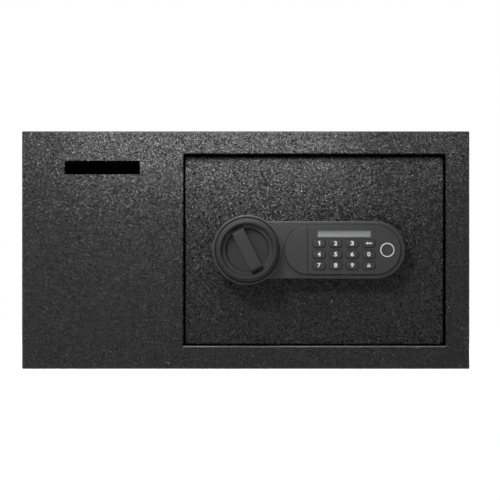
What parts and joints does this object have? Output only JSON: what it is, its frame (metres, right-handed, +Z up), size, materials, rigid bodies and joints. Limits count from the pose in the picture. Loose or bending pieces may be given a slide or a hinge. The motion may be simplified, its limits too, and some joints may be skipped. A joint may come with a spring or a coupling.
{
  "type": "drop safe",
  "caption": "Small steel drop safe with a front deposit slot, an inner chute and a hinged door that has a knob, a keypad and a fingerprint lock.",
  "frame": {"origin": "middle of the underside of the steel body, where the safe stands", "axes": "+Z up, -Y towards the front (the door and the slot), +X to the right seen from the front"},
  "size_m": [0.45, 0.373, 0.239],
  "materials": {
    "body_paint": "dark charcoal powder coat with a fine texture",
    "plain_steel": "zinc-plated sheet, satin",
    "bright_steel": "turned steel, satin bright",
    "brass": "plain turned brass",
    "lock_plastic": "dark grey moulded plastic, fine matte grain",
    "cover_plastic": "black moulded plastic",
    "white_plastic": "smooth white",
    "red_plastic": "smooth red",
    "display_window": "grey display behind a smooth window",
    "sensor_glass": "near-black glossy sensor face",
    "rubber": "black silicone rubber",
    "felt": "dark grey needle felt",
    "board": "green circuit board lacquer",
    "coil": "copper-coloured winding under tape",
    "battery": "plain dark battery sleeve"
  },
  "bodies": {
    "safe_body": {"body_wrap": "body_paint", "front_panel": "body_paint", "back_panel": "body_paint", "deposit_chute": "body_paint", "anti_fishing_comb": "body_paint", "floor_mat": "felt", "hinge_bush_upper": "body_paint", "hinge_bush_lower": "body_paint"},
    "door": {"door_panel": "body_paint", "hinge_pin_upper": "body_paint", "hinge_pin_lower": "body_paint", "inner_cover": "cover_plastic", "lock_housing": "lock_plastic", "keypad_fascia": "lock_plastic", "display_lens": "display_window", "display_module": "cover_plastic", "fingerprint_ring": "white_plastic", "fingerprint_sensor": "sensor_glass", "key_mat": "rubber", "circuit_board": "board", "emergency_lock_body": "bright_steel", "emergency_lock_nut": "bright_steel", "spindle_bush": "white_plastic", "bolt_guide": "plain_steel", "guide_stud_upper": "bright_steel", "guide_stud_lower": "bright_steel", "solenoid_frame": "plain_steel", "solenoid_coil": "coil", "battery_tray": "cover_plastic", "battery_1": "battery", "battery_2": "battery", "battery_3": "battery", "battery_4": "battery"},
    "turning_knob": {"knob": "lock_plastic", "spindle": "bright_steel", "crank": "plain_steel"},
    "bolt_work": {"bolt_carriage": "plain_steel", "bolt_upper": "bright_steel", "bolt_lower": "bright_steel"},
    "emergency_plug": {"emergency_lock_plug": "brass"},
    "plunger": {"solenoid_plunger": "bright_steel"},
    "keyhole_lid": {"keyhole_cover": "lock_plastic"},
    "battery_door": {"battery_lid": "cover_plastic"},
    "reset": {"reset_button": "red_plastic"},
    "button_1": {"key_1": "lock_plastic"},
    "button_2": {"key_2": "lock_plastic"},
    "button_3": {"key_3": "lock_plastic"},
    "button_4": {"key_4": "lock_plastic"},
    "button_5": {"key_5": "lock_plastic"},
    "button_6": {"key_6": "lock_plastic"},
    "button_7": {"key_7": "lock_plastic"},
    "button_8": {"key_8": "lock_plastic"},
    "button_9": {"key_9": "lock_plastic"},
    "button_0": {"key_0": "lock_plastic"},
    "button_back": {"key_back": "lock_plastic"},
    "button_lock": {"key_lock": "lock_plastic"}
  },
  "joints": [
    {"name": "door_hinge", "type": "hinge", "parent": "safe_body", "child": "door", "pos_m": [0.1758, -0.1607, 0.1196], "axis": [0, 0, 1], "range_deg": [0, 95]},
    {"name": "knob_turn", "type": "hinge", "parent": "door", "child": "turning_knob", "pos_m": [0.0016, -0.169, 0.1196], "axis": [0, -1, 0], "range_deg": [0, 70]},
    {"name": "bolt_throw", "type": "slide", "parent": "door", "child": "bolt_work", "axis": [-1, 0, 0], "range_m": [0, 0.01835]},
    {"name": "emergency_key_turn", "type": "hinge", "parent": "door", "child": "emergency_plug", "pos_m": [0.0511, -0.169, 0.1196], "axis": [0, 1, 0], "range_deg": [0, 90]},
    {"name": "plunger_lift", "type": "slide", "parent": "door", "child": "plunger", "axis": [0, 0, 1], "range_m": [0, 0.003]},
    {"name": "keyhole_cover_pull", "type": "slide", "parent": "door", "child": "keyhole_lid", "axis": [0, -1, 0], "range_m": [0, 0.012]},
    {"name": "battery_lid_hinge", "type": "hinge", "parent": "door", "child": "battery_door", "pos_m": [0.10545, -0.12525, 0.08995], "axis": [-1, 0, 0], "range_deg": [0, 100]},
    {"name": "reset_press", "type": "slide", "parent": "door", "child": "reset", "axis": [0, -1, 0], "range_m": [0, 0.0012], "stiffness_N_per_m": 300},
    {"name": "key_1_press", "type": "slide", "parent": "door", "child": "button_1", "axis": [0, 1, 0], "range_m": [0, 0.001], "stiffness_N_per_m": 400},
    {"name": "key_2_press", "type": "slide", "parent": "door", "child": "button_2", "axis": [0, 1, 0], "range_m": [0, 0.001], "stiffness_N_per_m": 400},
    {"name": "key_3_press", "type": "slide", "parent": "door", "child": "button_3", "axis": [0, 1, 0], "range_m": [0, 0.001], "stiffness_N_per_m": 400},
    {"name": "key_4_press", "type": "slide", "parent": "door", "child": "button_4", "axis": [0, 1, 0], "range_m": [0, 0.001], "stiffness_N_per_m": 400},
    {"name": "key_5_press", "type": "slide", "parent": "door", "child": "button_5", "axis": [0, 1, 0], "range_m": [0, 0.001], "stiffness_N_per_m": 400},
    {"name": "key_6_press", "type": "slide", "parent": "door", "child": "button_6", "axis": [0, 1, 0], "range_m": [0, 0.001], "stiffness_N_per_m": 400},
    {"name": "key_7_press", "type": "slide", "parent": "door", "child": "button_7", "axis": [0, 1, 0], "range_m": [0, 0.001], "stiffness_N_per_m": 400},
    {"name": "key_8_press", "type": "slide", "parent": "door", "child": "button_8", "axis": [0, 1, 0], "range_m": [0, 0.001], "stiffness_N_per_m": 400},
    {"name": "key_9_press", "type": "slide", "parent": "door", "child": "button_9", "axis": [0, 1, 0], "range_m": [0, 0.001], "stiffness_N_per_m": 400},
    {"name": "key_0_press", "type": "slide", "parent": "door", "child": "button_0", "axis": [0, 1, 0], "range_m": [0, 0.001], "stiffness_N_per_m": 400},
    {"name": "key_back_press", "type": "slide", "parent": "door", "child": "button_back", "axis": [0, 1, 0], "range_m": [0, 0.001], "stiffness_N_per_m": 400},
    {"name": "key_lock_press", "type": "slide", "parent": "door", "child": "button_lock", "axis": [0, 1, 0], "range_m": [0, 0.001], "stiffness_N_per_m": 400}
  ],
  "couplings": [
    {"joint": "knob_turn", "follows": "bolt_throw", "rad_per_m": 66.563}
  ]
}
